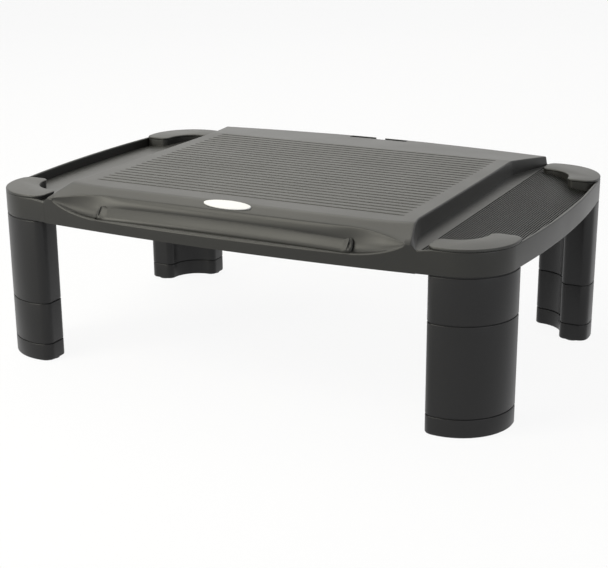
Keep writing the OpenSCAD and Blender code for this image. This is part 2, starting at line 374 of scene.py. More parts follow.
pieces = {}
for corner in CORNERS:
    swapped = corner == "front_right"
    upper, lower = (short_segment, tall_segment) if swapped else (tall_segment, short_segment)
    seam_z = FOOT_H + (TALL_H if swapped else SHORT_H)
    for pattern, name, height in (
        (corner_cap, "corner_cap", 0),
        (upper, "top_segment", seam_z),
        (lower, "bottom_segment", FOOT_H),
        (foot_block, "foot_block", 0),
        (rubber_pads, "rubber_pads", 0),
    ):
        pieces[f"{name}_{corner}"] = copy_to(pattern, name, corner, height)
for pattern in (corner_cap, tall_segment, short_segment, foot_block, rubber_pads):
    bpy.data.objects.remove(pattern)
print("corner pieces", len(pieces))

# %% [markdown]
# ## Posts
# A hollow post stands in each corner of the deck, a little smaller than the cap that covers it. It takes the
# leg's spigot from below and the cap's plug from above, so it is inset and hollowed from both ends.

# %% Model one post and copy it
CAP_OVER, SOCKET_DEEP = 0.0006, 0.011
POST_GAP, POST_ROUND = 0.0001, 0.0005
post = draw_leg("post", CAP_OVER, LEG_TOP + POST_GAP)
pull(z=SKIRT_H - 2 * POST_GAP)
pick("EDGE", loop_at(RIM_Z - POST_GAP))
soften(POST_ROUND)
pick("FACE", at_level(RIM_Z - POST_GAP))
bpy.ops.mesh.inset(thickness=WALL - CAP_OVER - POST_ROUND)
pull(z=SOCKET_DEEP + WALL - SKIRT_H)
pick("FACE", at_level(LEG_TOP + POST_GAP))
bpy.ops.mesh.inset(thickness=WALL - CAP_OVER)
pull(z=SOCKET_DEEP)
post = close_up()
posts = [copy_to(post, "post", corner, 0) for corner in CORNERS]
bpy.data.objects.remove(post)
print("posts", len(posts))

# %% [markdown]
# ## The panel
# The panel is the face of the riser: a flat field of rounded grooves inside a smooth border, an apron that
# falls to a scooped front edge, a longer apron behind, and steep sides that run out into the ledges. It could
# be cut from a block, but cut edges stay hard, and here every edge is soft. So it is lofted: a section is
# drawn for each station across the deck, all with the same number of points, and the rows of a grid are laid
# on those sections.
#
# A section is a chain of pieces that meet at corners. Each corner is rounded by a short curve that starts on
# one piece and ends on the next, which works for straight and curved pieces alike.

# %% Chain the pieces of a section
MOST_TRIM = 0.45


def distances(points):
    """How far along a chain each of its points lies."""
    steps = np.linalg.norm(np.diff(np.asarray(points, float), axis=0), axis=1)
    return np.r_[0, np.cumsum(steps)]


def spaced(points, count, start, stop):
    """Points at even spacing along a chain, from one distance along it to another."""
    points = np.asarray(points, float)
    along = distances(points)
    at = np.linspace(start, stop, count)
    return np.c_[np.interp(at, along, points[:, 0]), np.interp(at, along, points[:, 1])]


def chain(parts, counts, rounds):
    """Joins chains of points end to end. Each corner is rounded by a (width, number of points)."""
    lengths = [distances(part)[-1] for part in parts]
    trims = [0]
    for (width, count), before, after in zip(rounds, lengths, lengths[1:]):
        trims.append(min(width, MOST_TRIM * before, MOST_TRIM * after))
    trims.append(0)
    rows = []
    for k, part in enumerate(parts):
        rows.append(spaced(part, counts[k], trims[k], lengths[k] - trims[k + 1]))
    out = [rows[0]]
    for k, (width, count) in enumerate(rounds):
        before, corner, after = rows[k][-1], np.asarray(parts[k][-1], float), rows[k + 1][0]
        t = np.linspace(0, 1, count + 2)[1:-1, None]
        out.append((1 - t) ** 2 * before + 2 * t * (1 - t) * corner + t ** 2 * after)
        out.append(rows[k + 1])
    return np.vstack(out)


square = [[(0, 0), (1, 0)], [(1, 0), (1, 1)]]
print("a square corner with a round of 0.3:", chain(square, [2, 2], [(0.3, 1)]).round(3).tolist())

# %% [markdown]
# The front apron falls from a crease that bends back towards the panel's corners, and the back apron from a
# straight one. The back edge arches a little in the middle.

# %% Shape of the aprons
CREASE_Y, FRONT_DROP = -0.1462, 0.0125
CREASE_BEND, CREASE_STRAIGHT = 2.2, 0.120
BACK_CREASE_Y, BACK_DROP, BACK_ARCH, ARCH_HALF = 0.110, 0.0065, 0.0022, 0.185


def share_of(part, whole):
    """A part as a share of the whole, kept from 0 to 1."""
    return min(1.0, max(0.0, part / whole))


def bow(x):
    """How far the front and back edges have drawn in at a place across the deck."""
    return FRONT_BOW - math.sqrt(FRONT_BOW ** 2 - x * x)


def crease_y(x):
    """Where the front apron starts to fall."""
    return CREASE_Y + CREASE_BEND * max(0.0, abs(x) - CREASE_STRAIGHT) ** 2


def top_z(y, x=0.0):
    """Height of the panel's surface, grooves and scoop left out."""
    crease = crease_y(x)
    front = max(0.0, crease - y) * FRONT_DROP / (DECK_D / 2 + crease)
    drop = BACK_DROP - BACK_ARCH * max(0.0, 1 - (x / ARCH_HALF) ** 2)
    back = max(0.0, y - BACK_CREASE_Y) * drop / (DECK_D / 2 - BACK_CREASE_Y)
    return PANEL_Z - front - back


print("heights of the front and back edges", [round(top_z(y), 4) for y in (-DECK_D / 2, DECK_D / 2)])

# %% [markdown]
# Along the foot of the front apron runs a scoop, a soft cove between the apron and a lip on the front wall.
# It narrows to a point at each end, and deepens to a bowl on either side of the pen trough. A section of it
# is a curve in t, from 0 at the lip to 1 at the apron, and the lean makes the curve start flat and end steep.

# %% Shape of the scoop
SCOOP_LIP, SCOOP_TOP, SCOOP_TURN = 0.1484, -0.158, 0.0114
SCOOP_FULL, SCOOP_END, LIP_FADE = 0.116, 0.174, 0.8
BOWL_DEEP, COVE_SAG, BOWL_FADE = 0.0048, 0.0035, 1.5
BOWL_FROM, BOWL_FULL = 0.090, 0.138
COVE_LEAN, COVE_POWER, BOWL_POWER = 0.32, 2, 1.5
MOST_SHARE = 0.85


class Scoop:
    """The scoop at a place across the deck."""

    def __init__(self, x):
        self.past = share_of(abs(x) - SCOOP_FULL, SCOOP_END - SCOOP_FULL)
        near = share_of(abs(x) - BOWL_FROM, BOWL_FULL - BOWL_FROM)
        self.bowl = near ** 2 * (3 - 2 * near)
        self.front = -DECK_D / 2 + bow(x)
        self.edge_z = top_z(self.front, x)
        self.lip = self.edge_z - (self.edge_z - SCOOP_LIP) * (1 - self.past ** 2) ** LIP_FADE
        top = SCOOP_TOP - SCOOP_TURN * self.past ** 2
        self.wide = top - self.front
        self.tall = top_z(top, x) - self.lip
        deepest = COVE_SAG + (BOWL_DEEP - COVE_SAG) * self.bowl
        self.sag = deepest * math.cos(self.past * math.pi / 2) ** BOWL_FADE
        self.power = COVE_POWER + (BOWL_POWER - COVE_POWER) * self.bowl

    def plain(self, t):
        """A point (y, z) of the cove before it sags."""
        y = self.front + self.wide * t * (1 + COVE_LEAN - COVE_LEAN * t)
        return y, self.lip + self.tall * t * (1 + t) / 2

    def point(self, t):
        """A point (y, z) of the cove."""
        y, z = self.plain(t)
        return y, z - self.sag * math.sin(math.pi * t) ** self.power

    def share_at(self, y):
        """The t of the cove's point at a place from front to back."""
        run = min(MOST_SHARE, max(0.0, (y - self.front) / self.wide))
        return (1 + COVE_LEAN - math.sqrt((1 + COVE_LEAN) ** 2 - 4 * COVE_LEAN * run)) / (2 * COVE_LEAN)


middle = Scoop(0)
print("scoop at the middle", round(middle.wide, 4), "wide and", round(middle.tall, 4), "tall")

# %% [markdown]
# The pen trough fills the middle of the cove: a sloping bed inside a low rim with round ends. A narrow
# channel parts it from the lip, a shallow cut crosses its bed near each end, and behind it the cove rolls
# over into the apron. Past the trough's ends its chains shrink to a point on the cove, so that every section
# keeps the same number of points.

# %% Shape of the trough
TROUGH_Y, TROUGH_R, TROUGH_HALF, END_RISE = -0.1668, 0.0052, 0.125, 0.3
CHANNEL_DEEP, TROUGH_RIM, RIM_STEP, KNEE_UP = 0.0048, 0.0004, 0.0015, 0.0022
CHANNEL_FRONT, CHANNEL_BACK, KNEE_AT, BED_END = 0.12, 0.5, 0.62, 0.08
END_CUT, END_WIDE, END_DEEP = 0.1216, 0.0010, 0.0014
BULGE, BULGE_WAY = 0.0004, np.array([-0.8, 0.6])
STILL_PART, ROLL_RUN, ROLL_RISE = 0.25, 0.24, 1.24
COVE_POINTS, BED_POINTS, STILL_POINTS, ROLL_POINTS = 10, 9, 7, 9


def cove_back(scoop, start):
    """The cove behind the trough, which rolls over into the apron where it isn't a bowl."""
    root = scoop.share_at(TROUGH_Y + TROUGH_R)
    still = root + STILL_PART * (1 - root)
    shares = np.r_[np.linspace(start, still, STILL_POINTS), np.linspace(still, 1, ROLL_POINTS)[1:]]
    cove = np.array([scoop.point(t) for t in shares])
    t = np.maximum(0, (shares - root) / (1 - root))[:, None]
    roll = np.hstack([ROLL_RUN * t * (1 - t) + t ** 2, ROLL_RISE * t * (1 - t) + t ** 2])
    foot = np.array(scoop.point(root))
    rolled = foot + (cove[-1] - foot) * roll
    return cove + np.where(t > 0, rolled - cove, 0) * (1 - scoop.bowl)


def trough_parts(scoop, x):
    """Cove, channel, rim and bed of the trough, and the cove again, as chains of (y, z)."""
    near_end = share_of(abs(x) - TROUGH_HALF + TROUGH_R, TROUGH_R)
    half = TROUGH_R * (1 - near_end ** 3) ** (1 / 3)
    rise = (half / TROUGH_R) ** END_RISE
    sink = TROUGH_RIM + (RIM_STEP if near_end == 0 else 0)
    a, b = scoop.share_at(TROUGH_Y - half), scoop.share_at(TROUGH_Y + half)
    front = [scoop.point(t) for t in np.linspace(0, a, COVE_POINTS)]
    back = cove_back(scoop, b)
    (ya, za), (yb, zb) = front[-1], back[0]
    front_z, back_z = scoop.plain(a)[1], scoop.plain(b)[1]
    bottom = za + (front_z - CHANNEL_DEEP - za) * rise
    channel = [(ya + CHANNEL_FRONT * half, bottom), (ya + CHANNEL_BACK * half, bottom)]
    knee = np.array((ya + KNEE_AT * half, za + (front_z + KNEE_UP - sink - za) * rise))
    end = np.array((yb - BED_END * half, zb + (back_z - sink - zb) * rise))
    notch = END_DEEP * max(0.0, 1 - (abs(abs(x) - END_CUT) / END_WIDE) ** 2)
    bed = []
    for t in np.linspace(0, 1, BED_POINTS):
        bed.append(knee + (end - knee) * t + 4 * t * (1 - t) * (BULGE * rise - notch) * BULGE_WAY)
    return [front, [front[-1], channel[0]], channel, [channel[1], knee], bed, [end, back[0]],
            back[:STILL_POINTS], back[STILL_POINTS - 1:]]


bed = trough_parts(middle, 0)[4]
print("trough bed from", bed[0].round(4).tolist(), "to", bed[-1].round(4).tolist())

# %% Shape of the whole front edge
APRON_ROUND, APRON_CUT, SHRUNK_CHAINS = 0.0012, 0.3, 7


def front_parts(x):
    """Front wall, scoop with its trough, and the apron, as chains of (y, z)."""
    scoop = Scoop(x)
    y, z = scoop.front, scoop.edge_z
    if scoop.past < 1 and scoop.wide >= APRON_ROUND:
        parts = trough_parts(scoop, x)
    else:
        corner = [(y, z - APRON_ROUND), (y + APRON_CUT * APRON_ROUND, z - APRON_CUT * APRON_ROUND),
                  (y + APRON_ROUND, top_z(y + APRON_ROUND, x))]
        parts = [corner] + [[corner[-1]] * 2] * SHRUNK_CHAINS
    return [[(y, LEG_TOP), parts[0][0]]] + parts + [[parts[-1][-1], (crease_y(x), PANEL_Z)]]


print("chains in the front edge", len(front_parts(0)), "and past the scoop", len(front_parts(SCOOP_END)))

# %% [markdown]
# The grooves have steep sides and a round bottom. Towards their ends they grow narrower and shallower, as a
# round cutter leaves them. The sections keep the same points there, so the grooves fade out.

# %% Shape of a whole section
GROOVE_N, GROOVE_PITCH, GROOVE_FIRST = 26, 0.0091, -0.1235
GROOVE_W, GROOVE_DEEP, GROOVE_THIN = 0.0036, 0.0009, 0.4
GROOVE_FULL, GROOVE_END = 0.1455, 0.1525
GROOVE_PLACES = np.array([-0.5, -0.47, -0.43, -0.36, -0.2, 0.0, 0.2, 0.36, 0.43, 0.47, 0.5])
SLOT_FRONT, SLOT_BACK, SLOT_EDGE, MOUTH_Z = 0.1658, 0.1750, 0.001, 0.151
# Points on each chain, and the (width, points) of each rounded corner, from front to back.
FRONT_POINTS = [3, 6, 2, 2, 2, 7, 2, 4, 6, 5, 3]
FRONT_ROUNDS = [(0.0014, 6), (0.0006, 2), (0.0008, 2), (0.0008, 2), (0.0020, 5),
                (0.0008, 3), (0.0006, 2), (0.0, 0), (0.0010, 3), (0.0035, 5)]
REAR_POINTS = [3, 9, 2, 3, 3, 2]
REAR_ROUNDS = [(0.004, 4), (0, 0), (0, 0), (0.0014, 5), (0, 0)]


def groove_rows(x):
    """Points of all the grooves at a place across the deck."""
    past = share_of(abs(x) - GROOVE_FULL, GROOVE_END - GROOVE_FULL)
    fade = math.sqrt(1 - past ** 2)
    rows = []
    for k in range(GROOVE_N):
        for t in GROOVE_PLACES:
            y = GROOVE_FIRST + k * GROOVE_PITCH + t * GROOVE_W * (GROOVE_THIN + (1 - GROOVE_THIN) * fade)
            rows.append((y, PANEL_Z - fade * GROOVE_DEEP * (1 - (2 * abs(t)) ** 3)))
    return rows


def section(x_front, x_back, x_mid):
    """One section of the panel from the foot of its front wall to the foot of its back wall."""
    first = GROOVE_FIRST - GROOVE_PITCH / 2
    last = GROOVE_FIRST + (GROOVE_N - 0.5) * GROOVE_PITCH
    front = front_parts(x_front)
    front.append([front[-1][-1], (first, PANEL_Z)])
    y1 = DECK_D / 2 - bow(x_back)
    slot_run = SLOT_BACK - SLOT_FRONT
    if y1 < SLOT_BACK + SLOT_EDGE:
        slot_run = min(slot_run, (y1 - SLOT_FRONT) / 3)
    stops = [BACK_CREASE_Y, SLOT_FRONT, SLOT_FRONT + slot_run, y1]
    rear = [[(last, PANEL_Z), (BACK_CREASE_Y, PANEL_Z)]]
    rear += [[(m, top_z(m, x_back)), (n, top_z(n, x_back))] for m, n in zip(stops, stops[1:])]
    rear += [[rear[-1][1], (y1, MOUTH_Z)], [(y1, MOUTH_Z), (y1, LEG_TOP)]]
    return np.vstack([chain(front, FRONT_POINTS, FRONT_ROUNDS), groove_rows(x_mid),
                      chain(rear, REAR_POINTS, REAR_ROUNDS)])


print("points in a section", len(section(0, 0, 0)))

# %% [markdown]
# Towards the panel's sides the stations bend with its outline, which flares at the front and towards the back
# caps. Past the edge, the last section is lowered step by step down a steep rounded wall until it runs out on
# the ledge.

# %% Shape of the panel's sides
EDGE, EDGE_FRONT, EDGE_BACK, EDGE_TURN = 0.1667, 0.1785, 0.1855, -0.129
RAMP_SOFT = 0.1
LEDGE_DROP, LEDGE_X, LEDGE_SLOPE, TRAY_DEEP = 0.0015, 0.184, 0.04, 0.0095
ledge_z = RIM_Z - LEDGE_DROP
rim_x = (DECK_W - WALL) / 2
tray_tilt = math.atan2(ledge_z - (RIM_Z - TRAY_DEEP), rim_x - LEDGE_X)


def ramp(t):
    """A line that starts to rise softly at zero."""
    return 0.5 * (t + math.sqrt(t * t + RAMP_SOFT ** 2) - RAMP_SOFT * max(0.0, 1 - abs(t)))


def edge_x(y):
    """Half width of the panel at a place from front to back."""
    front = (EDGE_FRONT - EDGE) * ramp((EDGE_TURN - y) / (DECK_D / 2 + EDGE_TURN))
    back = (EDGE_BACK - EDGE) * ramp((y - BACK_CREASE_Y) / (DECK_D / 2 - BACK_CREASE_Y))
    return EDGE + front + back


def ledge_height(x):
    """Height of the tray's surface beside the panel."""
    return ledge_z + max(0.0, LEDGE_X - x) * LEDGE_SLOPE - max(0.0, x - LEDGE_X) * math.tan(tray_tilt)


def stretched(x, y):
    """Place of a border station at a row: it keeps its share of the border's width."""
    if x <= GROOVE_END:
        return x
    return GROOVE_END + (x - GROOVE_END) * (edge_x(y) - GROOVE_END) / (EDGE - GROOVE_END)


print("panel half width", [round(edge_x(y), 4) for y in (-DECK_D / 2, 0, DECK_D / 2)])

# %% Sections of the border and the side wall
FRONT_ROW, BACK_ROW = -0.172, 0.176
WALL_LEAN, LEAN_FRONT = 0.0016, 0.0045
FRONT_FROM, FRONT_RUN, BACK_FROM, BACK_RUN = -0.145, 0.022, 0.160, 0.010


def border_section(x):
    """A station on the panel's top, as points in space."""
    rows = section(stretched(x, FRONT_ROW), stretched(x, BACK_ROW), x)
    return np.array([(stretched(x, y), y, z) for y, z in rows])


def wall_section(rows, out, share, sink):
    """The edge station moved outwards and lowered to a share of its height above the ledge."""
    points = []
    for edge, y, z in rows:
        front = share_of(FRONT_FROM - y, FRONT_RUN)
        back = share_of(y - BACK_FROM, BACK_RUN)
        x = edge + out + (WALL_LEAN + (LEAN_FRONT - WALL_LEAN) * front) * (1 - share)
        base = ledge_height(x) - sink
        height = base + (z - base) * share if z > base else z
        points.append((x, y + (bow(x) - bow(edge)) * (front - back), height))
    return np.array(points)


edge_rows = border_section(EDGE)
print("points at the edge", len(edge_rows))

# %% [markdown]
# The stations lie closer together where the shape changes fast: at the cable slot, round the trough's ends,
# at the grooves' ends and towards the scoop's tips. The steps down the side wall say how far out each one
# lies, what share of the height is left, and how far it is sunk below the ledge.

# %% Lay the stations across the deck
SLOT_HALF, MOUTH_HALF = 0.032, 0.0055
FIELD_PLACES = [0.044, 0.056, 0.068, 0.080, 0.092, 0.102, 0.109, 0.114, 0.117]
BOWL_PLACES = [0.1256, 0.128, 0.131, 0.134, 0.137, 0.140, 0.143]
LAST_STEP = 0.0014
WALL_STEPS = [
    (-0.0010, 0.999, 0), (-0.0006, 0.993, 0), (-0.00025, 0.976, 0), (-0.00005, 0.945, 0),
    (0, 0.89, 0), (0, 0.75, 0), (0, 0.5, 0), (0, 0.25, 0), (0, 0.08, 0), (0, 0.02, 0),
    (0.0001, 0, 0.0002), (0.0001, 0, 0.0012),
]


def eased(start, stop, shares):
    """Places that draw together towards the end, as on a quarter of a circle."""
    return [start + (stop - start) * math.sin(share * math.pi / 2) for share in shares]


eighths = [k / 8 for k in range(9)]
trough_end = eased(TROUGH_HALF - TROUGH_R, TROUGH_HALF, eighths + [0.05, 0.95])
trough_end += [END_CUT + END_WIDE * k / 3 for k in range(-3, 4)]
tip = GROOVE_END + (SCOOP_END - GROOVE_END) * (EDGE - GROOVE_END) / (EDGE_FRONT - GROOVE_END)
stations = [0, MOUTH_HALF, SLOT_HALF / 2, 0.75 * SLOT_HALF, SLOT_HALF] + FIELD_PLACES
stations += sorted(trough_end) + BOWL_PLACES + eased(GROOVE_FULL, GROOVE_END, eighths)
stations += eased(GROOVE_END, tip, [k / 15 for k in range(1, 16)])
stations += list(np.linspace(tip, EDGE - LAST_STEP, 4)[1:])
sections = [border_section(x) for x in stations]
sections += [wall_section(edge_rows, *step) for step in WALL_STEPS]
right_half = np.array(sections)
panel_rows = np.vstack([right_half[:0:-1] * (-1, 1, 1), right_half])
print("panel stations", panel_rows.shape)

# %% [markdown]
# The sections go onto a grid: a row of the grid for each station and a line for each point. Where the trough
# or the scoop has ended, several points of a section share one place, and merging doubles closes those gaps.
# The cable slot in the back apron is a T: two bars and a mouth through the back wall. Its faces are removed
# and its outline is pulled straight down, so that the slot has walls.

# %% Tests for the slot
SLOT_LOW, SLOT_WALL, CHEEK_NEAR, PANEL_SMOOTH = 0.155, 0.0028, 0.0001, 32


def in_slot(middle, normal):
    """A test for faces of the T-shaped cable slot."""
    bar = abs(middle.x) < SLOT_HALF and SLOT_FRONT < middle.y < SLOT_BACK and middle.z > SLOT_LOW
    mouth = abs(middle.x) < MOUTH_HALF and middle.y > SLOT_FRONT and middle.z > MOUTH_Z
    return bar or mouth


def on_cheek(a, b):
    """A test for an edge that lies on a side of the slot's mouth."""
    return abs(a.x - b.x) < NEAR_SPOT and abs(abs(a.x) - MOUTH_HALF) < CHEEK_NEAR


def on_rim(a, b):
    """A test for an edge of the slot's outline above the mouth's sill."""
    return abs(a.x) < GROOVE_END and min(a.z, b.z) > MOUTH_Z + WALL and not on_cheek(a, b)


def pick_border(test):
    """Selects the open edges whose ends pass the test."""
    bpy.ops.mesh.select_mode(type="EDGE")
    bpy.ops.mesh.select_all(action="DESELECT")
    bpy.ops.mesh.select_non_manifold(extend=False, use_wire=False, use_boundary=True, use_multi_face=False,
                                     use_non_contiguous=False, use_verts=False)
    bpy.ops.object.mode_set(mode="OBJECT")
    mesh = bpy.context.object.data
    for e in mesh.edges:
        e.select = e.select and test(*(mesh.vertices[i].co for i in e.vertices))
    bpy.ops.object.mode_set(mode="EDIT")


# %% Make the panel's outer surface
def lay_grid(name, rows):
    """A grid whose rows lie on sections with the same number of points."""
    across, along = rows.shape[:2]
    bpy.ops.object.select_all(action="DESELECT")
    bpy.ops.mesh.primitive_grid_add(x_subdivisions=along - 1, y_subdivisions=across - 1, size=1)
    piece = bpy.context.object
    piece.data.vertices.foreach_set("co", rows.reshape(-1).astype(np.float32))
    piece.data.update()
    begin(name)
    bpy.ops.mesh.remove_doubles(threshold=SAME_SPOT)
    return piece


panel = lay_grid("panel", panel_rows)
pick("FACE", in_slot)
bpy.ops.mesh.delete(type="FACE")
pick_border(on_rim)
pull(z=-SLOT_WALL)
panel = close_up(smooth=PANEL_SMOOTH)
print("panel faces", len(panel.data.polygons))

# %% [markdown]
# The underside is a second grid, 3 mm inside the first. At each place from front to back it lies as high as a
# ball of that radius could roll along below the outer surface. It starts at the foot of the outer wall, so
# the two meet. Under the grooves it is flat.

# %% Make the panel's inner surface
BALL_STEPS, FRONT_STEPS, BACK_STEPS = 900, 38, 12
INNER_FRONT, INNER_BACK, INNER_FIELD = -0.130, 0.100, [-0.12, -0.03, 0.06]


def inner_section(points, x):
    """Section of the underside below an outer section."""
    y0, y1 = points[0, 1], points[-1, 1]
    on_top = points[FRONT_POINTS[0]:-REAR_POINTS[-1]]
    order = np.argsort(on_top[:, 1], kind="stable")
    fine_y = np.linspace(y0, y1, BALL_STEPS)
    outer = np.interp(fine_y, on_top[order, 1], on_top[order, 2])
    front = np.linspace(y0 + WALL, INNER_FRONT, FRONT_STEPS)
    back = np.linspace(INNER_BACK, y1 - WALL, BACK_STEPS)
    rows = [(y0, LEG_TOP), (y0 + WALL, LEG_TOP)]
    for place in np.r_[front, INNER_FIELD, back]:
        gap = fine_y - place
        near = np.abs(gap) < WALL
        rows.append((place, np.min(outer[near] - np.sqrt(WALL ** 2 - gap[near] ** 2))))
    rows += [(y1 - WALL, MOUTH_Z), (y1 - WALL, LEG_TOP), (y1, LEG_TOP)]
    return np.array([(stretched(x, y), y, z) for y, z in rows])


inner_half = []
for x, points in zip(stations, sections):
    plain = points.copy()
    in_field = (plain[:, 1] > GROOVE_FIRST - GROOVE_W) & (plain[:, 1] < BACK_CREASE_Y)
    plain[in_field, 2] = PANEL_Z
    inner_half.append(inner_section(plain, x))
lowered = inner_half[-1].copy()
lowered[:, 2] = np.minimum(lowered[:, 2], ledge_z - WALL)
inner_half = np.array(inner_half + [lowered])
underside = lay_grid("underside", np.vstack([inner_half[:0:-1] * (-1, 1, 1), inner_half]))
pick("FACE", in_slot)
bpy.ops.mesh.delete(type="FACE")
bpy.ops.object.mode_set(mode="OBJECT")
print("underside faces", len(underside.data.polygons))

# %% [markdown]
# The two surfaces meet along the feet of the front and back walls, where merging doubles stitches them. Each
# side leaves a long loop, which is filled under the tray. The slot's two outlines have the same number of
# points, so bridging makes its walls. Its mouth is then closed by a sill and two flat cheeks.

# %% Stitch the two surfaces together
panel = join("panel", [panel, underside])
bpy.ops.object.mode_set(mode="EDIT")
bpy.ops.mesh.select_all(action="SELECT")
bpy.ops.mesh.remove_doubles(threshold=NEAR_SPOT)
for side in (1, -1):
    pick_border(lambda a, b: side * a.x > GROOVE_END)
    bpy.ops.mesh.fill(use_beauty=False)
pick_border(on_rim)
bpy.ops.mesh.bridge_edge_loops()
pick_border(lambda a, b: max(a.z, b.z) < MOUTH_Z + WALL and not on_cheek(a, b))
bpy.ops.mesh.bridge_edge_loops()
for side in (1, -1):
    pick_border(lambda a, b: side * a.x > 0)
    bpy.ops.mesh.edge_face_add()
panel = close_up(smooth=PANEL_SMOOTH)
print("panel faces with its underside", len(panel.data.polygons))

# %% [markdown]
# ## Side trays
# Beside the panel lies a gently sloping ledge, and from there the tray's floor falls to the skirt. The
# right-hand floor has fine ribs that run front to back, and the left-hand one is smooth. The section is the
# same all the way, so a grid of one row is laid on it and pulled down to the wall's thickness. Its inner
# front corner is drawn back, to stay clear of the scoop's tip. The plate is then trimmed to the deck's plan
# by the solid that it must stay inside.

# %% Draw the deck's plan as a solid
SIDE_STEPS, CORNER_STEPS = 24, 16


def deck_plan(name, inset, low, high):
    """A prism of the deck's plan, drawn in by an inset."""
    r = SIDE_BOW - inset
    add_point(name, (SIDE_C.x + r * math.cos(SIDE_END), -r * math.sin(SIDE_END), low))
    for side in (1, -1):
        swing(2 * SIDE_END, side * SIDE_C, SIDE_STEPS)
        swing(BACK_END - SIDE_END, side * CORNER_C, CORNER_STEPS)
        swing(2 * BOW_TURN, side * BACK_C, SIDE_STEPS)
        swing(BACK_END - SIDE_END, (-side * CORNER_C.x, side * CORNER_C.y), CORNER_STEPS)
    bpy.ops.mesh.select_all(action="SELECT")
    bpy.ops.mesh.remove_doubles(threshold=NEAR_SPOT)
    bpy.ops.mesh.edge_face_add()
    pull(z=high - low)
    return close_up()


# %% Model the two trays
FINE_PITCH, FINE_DEEP = 0.00205, 0.0011
LEDGE_ROUND, TRAY_CLEAR = 0.0005, 0.017
PLATE_SMOOTH, TRAY_SMOOTH = 28, 20
FINE_SHAPE = ((0.0, 0.0), (0.06, 1.0), (0.50, 1.0), (0.56, 0.0), (0.78, -0.1))


def tray_section(ribbed):
    """Section of a right-hand tray's surface, from under the panel to the skirt, as (x, z)."""
    rows = [(x, ledge_height(x)) for x in (EDGE - WALL, LEDGE_X - LEDGE_ROUND)]
    rows.append((LEDGE_X + LEDGE_ROUND / 2, ledge_height(LEDGE_X + LEDGE_ROUND / 2) - LEDGE_ROUND / 4))
    start = LEDGE_X + LEDGE_ROUND
    if ribbed:
        for k in range(int((rim_x - start) / FINE_PITCH)):
            for share, drop in FINE_SHAPE:
                x = start + (k + share) * FINE_PITCH
                rows.append((x, ledge_height(x) - drop * FINE_DEEP))
    return rows + [(rim_x, ledge_height(rim_x))]


def tray(name, side, ribbed):
    """A tray plate on one side of the panel."""
    profile = tray_section(ribbed)
    rows = np.array([[(side * x, y, z) for x, z in profile] for y in (-DECK_D / 2, DECK_D / 2)])
    rows[0, 0, 1] += TRAY_CLEAR
    lay_grid(name, rows)
    pull(z=-WALL)
    plate = close_up(smooth=PLATE_SMOOTH)
    plan = deck_plan("plan", WALL / 2, LEG_TOP, RIM_Z)
    carve(plate, plan, "INTERSECT")
    bpy.ops.object.shade_smooth_by_angle(angle=math.radians(TRAY_SMOOTH))
    return plate


right_tray = tray("right_tray", 1, True)
left_tray = tray("left_tray", -1, False)
print("tray faces", len(right_tray.data.polygons), len(left_tray.data.polygons))

# %% [markdown]
# ## Skirt walls
# The deck's skirt is a wall 3 mm thick with rounded edges. Between the panel's front and back corners it runs
# round each end of the deck. One rectangle with rounded corners, spun about the centre of each arc in turn,
# sweeps the whole wall. Beside the panel's front corner the real rim dips to the level of the ledge, so that
# end is lowered. With no window the rotate operator turns clockwise, so `turn` swaps the sign.

# %% Sweep the skirt round each end
SKIRT_ROUND, BOW_STEPS, BEND_STEPS, LONG_STEPS = 0.0012, 2, 24, 32
DIP_X, DIP_Y, DIP_BAND, RIM_DIP = 0.187, -0.15, 0.003, 0.0016


def turn(angle, axis, centre):
    """Turns what is selected anticlockwise about an axis through a point."""
    bpy.ops.transform.rotate(value=-angle, orient_axis=axis, center_override=centre)


front_turn = math.asin(right_half[-1, 0, 0] / FRONT_BOW)
back_turn = math.asin(right_half[-1, -1, 0] / FRONT_BOW)
front_c = (0, -BACK_C.y)
bpy.ops.object.select_all(action="DESELECT")
bpy.ops.mesh.primitive_plane_add(size=1)
right_skirt = begin("right_skirt")
turn(math.pi / 2, "Y", (0, 0, 0))
bpy.ops.transform.resize(value=(1, WALL, SKIRT_H))
bpy.ops.transform.translate(value=(0, (WALL - DECK_D) / 2, LEG_TOP + SKIRT_H / 2))
bpy.ops.mesh.bevel(offset=SKIRT_ROUND, segments=4, affect="VERTICES")
turn(front_turn, "Z", (0, front_c[1], 0))
swing(BOW_TURN - front_turn, front_c, BOW_STEPS)
swing(BACK_END - SIDE_END, (CORNER_C.x, -CORNER_C.y), BEND_STEPS)
swing(2 * SIDE_END, SIDE_C, LONG_STEPS)
swing(BACK_END - SIDE_END, CORNER_C, BEND_STEPS)
swing(BOW_TURN - back_turn, BACK_C, BOW_STEPS)
pick("VERT", lambda p: p.z > RIM_Z - DIP_BAND and p.x < DIP_X and p.y < DIP_Y)
bpy.ops.transform.translate(value=(0, 0, -RIM_DIP))
right_skirt = close_up()
print("skirt from", [round(min(v.co[i] for v in right_skirt.data.vertices), 4) for i in range(3)])

# %% [markdown]
# The left skirt is a mirrored copy of the right one. Mirroring turns a shape inside out, so its faces are
# turned back.

# %% Mirror the skirt
select_only(right_skirt)
bpy.ops.object.duplicate(linked=False)
left_skirt = bpy.context.object
left_skirt.scale.x = -1
bpy.ops.object.transform_apply(location=True, rotation=True, scale=True)
bpy.ops.object.mode_set(mode="EDIT")
left_skirt = close_up()
print("left skirt faces", len(left_skirt.data.polygons))

# %% [markdown]
# ## Stiffening ribs
# Ribs hang from the underside and keep the panel from sagging. They are bars with softened lower edges, three
# each way, let into the panel by half a millimetre. Then all the parts of the deck become one piece, since
# they are one moulding.

